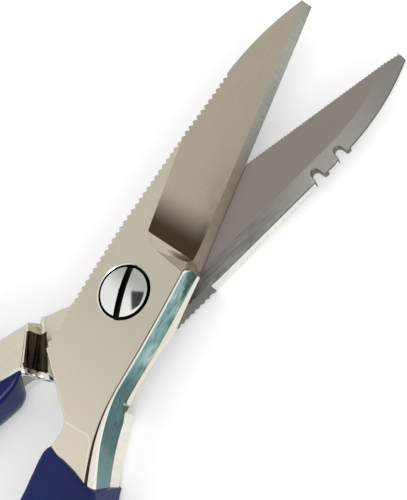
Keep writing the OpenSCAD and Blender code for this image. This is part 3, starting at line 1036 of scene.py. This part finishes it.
class Nodes:
    """A node tree, with one short call per node."""

    def __init__(self, tree):
        self.tree = tree

    def add(self, kind, settings=None, **inputs):
        node = self.tree.nodes.new(kind)
        for key, value in (settings or {}).items():
            setattr(node, key, value)
        for key, value in inputs.items():
            self.put(node, key, value)
        return node

    def put(self, node, key, value):
        """Sets an input, found by its name or number, to a value or to another node's output."""
        socket = node.inputs[key.replace("_", " ") if isinstance(key, str) else key]
        if isinstance(value, bpy.types.NodeSocket):
            self.tree.links.new(value, socket)
        else:
            socket.default_value = value

    def place(self, turn=0.0, scale=(1, 1, 1)):
        """Position on the object, turned into a half's own frame and scaled."""
        coord = self.add("ShaderNodeTexCoord")
        turned = self.add("ShaderNodeMapping", Vector=coord.outputs["Object"], Rotation=(0, 0, turn))
        return self.add("ShaderNodeMapping", Vector=turned.outputs[0], Scale=scale).outputs[0]

    def noise(self, vector, scale, detail=3.0, rough=0.55, distortion=0.0):
        return self.add("ShaderNodeTexNoise", Vector=vector, Scale=scale, Detail=detail, Roughness=rough,
                        Distortion=distortion).outputs["Fac"]

    def ramp(self, fac, stops):
        node = self.add("ShaderNodeValToRGB", Fac=fac)
        ramp = node.color_ramp
        while len(ramp.elements) < len(stops):
            ramp.elements.new(0.5)
        for element, (at, colour) in zip(ramp.elements, stops):
            element.position = at
            element.color = colour
        return node.outputs["Color"]

    def fit(self, value, low, high, to_low=0.0, to_high=1.0, smooth=False):
        node = self.add("ShaderNodeMapRange", {"interpolation_type": "SMOOTHSTEP" if smooth else "LINEAR"})
        for key, v in (("Value", value), ("From Min", low), ("From Max", high), ("To Min", to_low),
                       ("To Max", to_high)):
            self.put(node, key, v)
        return node.outputs["Result"]

    def mix(self, fac, a, b):
        node = self.add("ShaderNodeMix", {"data_type": "RGBA"})
        for key, value in ((0, fac), (6, a), (7, b)):
            self.put(node, key, value)
        return node.outputs[2]

    def math(self, operation, *values, kind="ShaderNodeMath", output=0):
        node = self.add(kind, {"operation": operation})
        for key, value in enumerate(values):
            self.put(node, key, value)
        return node.outputs[output]

    def vector(self, operation, a, b, output="Vector"):
        return self.math(operation, a, b, kind="ShaderNodeVectorMath", output=output)

    def bump(self, height, strength, distance):
        return self.add("ShaderNodeBump", Height=height, Strength=strength, Distance=distance).outputs[0]


class Material(Nodes):
    """A material with its node tree and its shader."""

    def __init__(self, name):
        self.material = bpy.data.materials.new(name)
        self.material.use_nodes = True
        super().__init__(self.material.node_tree)
        self.shader = self.tree.nodes["Principled BSDF"]

    def set(self, **inputs):
        """Sets the shader's own inputs."""
        for key, value in inputs.items():
            self.put(self.shader, key, value)

def grey(v):
    return (v, v, v, 1.0)


def scaled(colour, share):
    return tuple(min(c * share, 1) for c in colour[:3]) + (1,)


def steel(name, turn, colour, rough, grain, depth=0.12, tone=0.12, smudge=0.1, fades=()):
    """Metal with a fine directional grain and faint smudges. A fade is the ranges, each an axis with
    the places where it starts and where it has gone, and the colour that it brings before them."""
    m = Material(name)
    lines = m.noise(m.place(turn, grain), 1.0, 4.0, 0.6)
    cloud = m.noise(m.place(turn), 55.0, 3.0)
    fleck = m.noise(m.place(turn), 900.0, 2.0)
    base = linear(*colour)
    col = m.mix(m.fit(lines, 0.3, 0.7), scaled(base, 1 - tone), scaled(base, 1 + tone))
    col = m.mix(m.fit(cloud, 0.35, 0.75, 0.0, smudge), col, scaled(base, 0.72))
    for *ranges, toned in fades:
        amount = 1.0
        for axis, start, stop in ranges:
            place = m.add("ShaderNodeSeparateXYZ", Vector=m.place(turn)).outputs[axis]
            amount = m.math("MULTIPLY", amount, m.fit(place, start * MM, stop * MM, 1.0, 0.0, True))
        col = m.mix(amount, col, linear(*toned))
    height = m.math("ADD", lines, m.math("MULTIPLY", fleck, 0.35))
    m.set(Base_Color=col, Metallic=1.0, Normal=m.bump(height, depth, 0.02 * MM),
          Roughness=m.math("ADD", m.fit(lines, 0.3, 0.7, rough * 0.8, rough * 1.25),
                           m.fit(cloud, 0.4, 0.8, 0.0, 0.06)))
    return m.material


def vinyl(name, turn):
    """Dip-coated vinyl: glossy, deep blue, with a faint orange peel and scuffs."""
    m = Material(name)
    peel = m.noise(m.place(turn), 420.0, 2.0)
    wave = m.noise(m.place(turn), 70.0, 2.0)
    scuff = m.noise(m.place(turn), 700.0, 4.0, 0.7)
    col = m.mix(m.fit(wave, 0.3, 0.7), linear(6, 20, 72), linear(10, 27, 86))
    col = m.mix(m.fit(scuff, 0.62, 0.8, 0.0, 0.2), col, linear(44, 54, 110))
    height = m.math("ADD", m.math("MULTIPLY", wave, 2.2), peel)
    m.set(Base_Color=col, Roughness=m.fit(scuff, 0.35, 0.8, 0.2, 0.42), Specular_IOR_Level=0.2,
          Coat_Weight=0.05, Coat_Roughness=0.12, Normal=m.bump(height, 0.12, 0.1 * MM))
    return m.material


def wall_with_painted_reflection(name, turn):
    """The polished outer wall, whose colour is a painted reflection: a marbled blue-green, painted darker
    behind the boss and paler at the vinyl.
    """
    m = Material(name)
    warp = m.noise(m.place(turn, (1.0, 0.45, 1.0)), 190.0, 3.0, 0.55, 1.6)
    vein = m.noise(m.place(turn, (1.0, 0.3, 0.8)), 330.0, 4.0, 0.6, 2.4)
    along = m.add("ShaderNodeSeparateXYZ", Vector=m.place(turn)).outputs["Y"]
    col = m.ramp(warp, [(0.30, linear(84, 128, 130)), (0.46, linear(128, 170, 170)),
                        (0.58, linear(150, 186, 184)), (0.74, linear(190, 210, 206))])
    col = m.mix(m.fit(vein, 0.56, 0.66, 0.0, 0.85), col, linear(58, 92, 94))
    # painted shade: the painted reflection is darker behind the boss
    col = m.mix(m.fit(along, -20 * MM, -10 * MM, 0.8, 0.0, True), col, linear(42, 76, 80))
    # painted reflection, paler at the vinyl
    col = m.mix(m.fit(along, -40 * MM, -30 * MM, 0.45, 0.0, True), col, linear(140, 172, 170))
    m.set(Base_Color=col, Metallic=1.0, Roughness=m.fit(vein, 0.3, 0.7, 0.16, 0.26),
          Normal=m.bump(warp, 0.15, 0.1 * MM))
    return m.material


# grain in noise cells per metre, in the half's x, y and h: along the blade, across it, and finer kinds
ALONG = (2500, 60, 400)
ALONG_GROUND = (2200, 160, 400)
ALONG_INNER = (2200, 120, 400)
ACROSS = (60, 2000, 400)
# the turn of a material's grain, by the first word of its name
GRAIN_TURNS = {"front": -FRONT_TURN, "bore": -FRONT_TURN, "rear": FRONT_TURN, "nut": 0.9}


def make_materials():
    """Every material by name."""
    # the faces' base tones differ partly by finish and partly as painted light, each set to the light that
    # its face reflects
    looks = {
        "front_flat": ((205, 199, 184), 0.2, ALONG, 0.05, 0.035, 0.1, [(("Y", -45, 0), (226, 219, 203))]),
        # painted dark reflection on the ground face at the foot of the shoulder
        "front_ground": ((178, 170, 155), 0.24, ALONG_GROUND, 0.08, 0.05, 0.08,
                         [(("Y", 18, 29), (66, 56, 44))]),
        "front_bevel": ((160, 160, 152), 0.28, (300, 1500, 400), 0.15, 0.12, 0.3,
                        [(("Y", 36, 56), (134, 126, 113))]),
        "front_lip": ((160, 152, 136), 0.2, ALONG, 0.06, 0.06),
        "front_plunge": ((196, 188, 172), 0.22, ALONG, 0.06, 0.08),
        "front_rim": ((236, 232, 222), 0.12, ALONG, 0.05, 0.06),
        "front_side": ((190, 188, 182), 0.25, ALONG),
        "front_inner": ((160, 154, 148), 0.3, ACROSS, 0.15),
        # a painted dark reflection along the inner side of the wall's top edge
        "front_seam": ((74, 60, 46), 0.25, ALONG, 0.06, 0.15),
        # painted shade in the bores, and through darken_slot in the screw's slot
        "bore": ((52, 46, 42), 0.35, (400, 400, 3000), 0.2, 0.2),
        "rear_flat": ((176, 172, 166), 0.24, ALONG, 0.08, 0.08),
        # painted shade on the contact face beside the front half's wall, and a painted paler reflection
        # beside the front's teeth
        "rear_inner": ((148, 141, 134), 0.3, ALONG_INNER, 0.06, 0.05, 0.1,
                       [(("Y", 6, 20), (78, 72, 67)), (("Y", 4, 10), ("X", -4, 2), (220, 213, 198))]),
        # paler before y 50, and painted shade near the pivot beside the front half's wall
        "rear_band": ((140, 136, 132), 0.22, ALONG_INNER, 0.06, 0.05, 0.1,
                      [(("Y", 50, 82), (184, 180, 175)), (("Y", 8, 26), (80, 75, 71))]),
        "rear_rim": ((226, 224, 220), 0.12, ALONG, 0.05, 0.06),
        "rear_side": ((150, 148, 146), 0.25, ALONG, 0.12, 0.15),
        # darker steel for the rear's teeth, and painted dark reflection and shade on the edges in DARK_EDGES
        "rear_gear": ((112, 108, 103), 0.4, ALONG, 0.12, 0.15),
        # a painted dark reflection on the step, with noise streaks of painted highlight
        "rear_step": ((60, 55, 40), 0.1, (60, 500, 300), 0.1, 0.5, 0.5),
        "rear_swell": ((222, 216, 202), 0.14, ALONG, 0.04, 0.04),
        # a painted highlight: the head is painted near-white on one side
        "screw": ((184, 181, 177), 0.06, (300, 900, 300), 0.04, 0.04, 0.1,
                  [(("Y", -2, 4.5), (246, 245, 242))]),
        "spring": ((120, 118, 116), 0.3, (900, 900, 2500), 0.2, 0.2),
        "nut": ((196, 194, 190), 0.22, (300, 2200, 300), 0.15),
    }
    made = {name: steel(name, GRAIN_TURNS.get(name.split("_")[0], 0.0), *look)
            for name, look in looks.items()}
    made["front_wall"] = wall_with_painted_reflection("front_wall", GRAIN_TURNS["front"])
    for half in ("front", "rear"):
        made[half + "_vinyl"] = vinyl(half + "_vinyl", GRAIN_TURNS[half])
    return made


FACE_PATCHES = ("flat", "ground", "bevel", "lip", "plunge", "inner", "step", "swell", "band", "seam")
# the rear half's edges that take the dark gear steel: a painted dark reflection along the back's contact edge
# and painted shade in the notches
DARK_EDGES = ("foot_back", "foot_tip", "foot_notch", "side_notch")
# kinds that a half makes in another of its materials
SAME_AS = {"front": {"band": "inner", "step": "flat", "swell": "flat"},
           "rear": {"ground": "flat", "bevel": "flat", "lip": "flat", "plunge": "flat", "seam": "side"}}


def kind_of(patch, rear):
    """The kind of surface that a patch is, which names its material."""
    if patch in FACE_PATCHES:
        return patch
    if patch == "shank":
        return "flat"
    if patch == "rim_edge":
        return "bevel"
    if patch == "side_wall" and not rear:
        return "wall"
    if rear and (patch.endswith("_teeth") or patch in DARK_EDGES):
        return "gear"
    if patch.startswith("side_") and not (rear and patch in ("side_back", "side_tip")):
        return "side"
    # every other patch, the rounded edges and the ridge strip, takes the pale rim steel: a painted highlight
    return "rim"


def slot_of_half(half):
    def slot(patch):
        if patch == "bore":
            return "bore"
        kind = kind_of(patch, half == "rear")
        return half + "_" + SAME_AS[half].get(kind, kind)
    return slot


# ---------------------------------------------------------------- build
materials = make_materials()
front_place = Matrix.Rotation(FRONT_TURN, 4, "Z") @ Matrix.Translation((0, 0, HALF_T))
rear_place = (Matrix.Rotation(-FRONT_TURN, 4, "Z") @ Matrix.Translation((0, 0, HALF_T))
              @ Matrix.Rotation(math.pi, 4, "Y"))

front_steel = make_object("front_half_steel", half_solid(False), front_place, materials,
                          slot_of_half("front"))
rear_steel = make_object("rear_half_steel", half_solid(True), rear_place, materials, slot_of_half("rear"))
front_vinyl = make_object("front_grip_vinyl", grip_solid(False), front_place, materials,
                          lambda patch: "front_vinyl", 60)
rear_vinyl = make_object("rear_grip_vinyl", grip_solid(True), rear_place, materials,
                         lambda patch: "rear_vinyl", 60)
screw = pivot_screw()
darken_slot(screw.data)

for piece, body, node, slot in (
        (front_steel, "front", "front_half", "polished_steel"),
        (rear_steel, "rear", "rear_half", "ground_steel"),
        (front_vinyl, "front", "front_grip", "vinyl"), (rear_vinyl, "rear", "rear_grip", "vinyl"),
        (screw, "rear", "pivot_screw", "screw_steel")):
    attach(piece, body)
    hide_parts(node)

for node, name in (("spring_washer", "spring"), ("pivot_nut", "nut")):
    for slot in bpy.data.objects[node].material_slots:
        slot.material = materials[name]

# ---------------------------------------------------------------- stage, light and camera
floor_mesh = bpy.data.meshes.new("floor")
floor_mesh.from_pydata([(-1.5, -1.5, 0), (1.5, -1.5, 0), (1.5, 1.5, 0), (-1.5, 1.5, 0)], [], [(0, 1, 2, 3)])
floor = add_object("floor", floor_mesh)
paper = Material("floor_paper")
paper.set(Base_Color=paper.mix(paper.noise(paper.place(), 30.0), grey(0.86), grey(0.9)), Roughness=0.9,
          Emission_Color=grey(1.0), Emission_Strength=0.25)
floor_mesh.materials.append(paper.material)

world = bpy.data.worlds.new("studio")
bpy.context.scene.world = world
world.use_nodes = True
studio = Nodes(world.node_tree)
sky = studio.add("ShaderNodeTexCoord").outputs["Generated"]
sky_z = studio.add("ShaderNodeSeparateXYZ", Vector=sky).outputs["Z"]


def spot(light, direction, inner, outer, depth):
    """Darkens the studio's light round a direction, between two angles in degrees."""
    dot = studio.vector("DOT_PRODUCT", sky, Vector(direction).normalized(), "Value")
    left = studio.fit(dot, math.cos(math.radians(outer)), math.cos(math.radians(inner)), 1.0, 1.0 - depth,
                      True)
    return studio.vector("MULTIPLY", light, left)


def panel(light, centre, reaches, depth):
    """Darkens a soft-edged rectangle overhead, given by its centre and, for each direction in plan, its
    reach."""
    offset = studio.vector("SUBTRACT", sky, (*centre, 0))
    share = studio.math("GREATER_THAN", sky_z, 0.5)
    for direction, reach in reaches:
        away = studio.math("ABSOLUTE", studio.vector("DOT_PRODUCT", offset, (*direction, 0), "Value"))
        share = studio.math("MULTIPLY", share, studio.fit(away, reach * 0.85, reach * 1.1, 1.0, 0.0, True))
    return studio.vector("MULTIPLY", light, studio.math("MULTIPLY_ADD", share, -depth, 1.0))


light = studio.add("ShaderNodeRGB").outputs[0]
light.default_value = (1.0, 0.99, 0.975, 1)
light = spot(light, (-0.75, 0.0, 0.66), 5, 50, 0.1)
light = panel(light, (-0.14, -0.01), (((0.741, 0.671), 0.15), ((0.56, -0.829), 0.19)), 0.93)
background = studio.tree.nodes["Background"]
studio.put(background, "Color", light)
studio.put(background, "Strength", 0.95)


def softbox(name, at, size, power, target):
    """A square lamp that faces its target."""
    data = bpy.data.lights.new(name, "AREA")
    data.size = size
    data.energy = power
    lamp = add_object(name, data)
    lamp.location = at
    lamp.rotation_euler = (Vector(target) - Vector(at)).to_track_quat("-Z", "Y").to_euler()


softbox("key", (0.9, -0.5, 0.5), 0.5, 4.0, (0, 0, 0))

CAMERA_AT = Vector((0.1108, 0.01265, 0.1902))
CAMERA_TARGET = Vector((0.0102, 0.0198, 0.015))
CAMERA_ROLL = math.radians(-47.9)
LENS_MM = 61.45
camera_data = bpy.data.cameras.new("camera")
camera_data.lens = LENS_MM
camera_data.sensor_width = 36
camera_data.clip_start = 0.01
camera = add_object("camera", camera_data)
look = (CAMERA_TARGET - CAMERA_AT).normalized()
level = look.cross(Vector((0, 0, 1))).normalized()
above = level.cross(look)
right = level * math.cos(CAMERA_ROLL) + above * math.sin(CAMERA_ROLL)
up = right.cross(look)
turn = Matrix((right, up, -look)).transposed()
camera.matrix_world = Matrix.Translation(CAMERA_AT) @ turn.to_4x4()
bpy.context.scene.camera = camera
bpy.context.scene.view_settings.view_transform = "Standard"
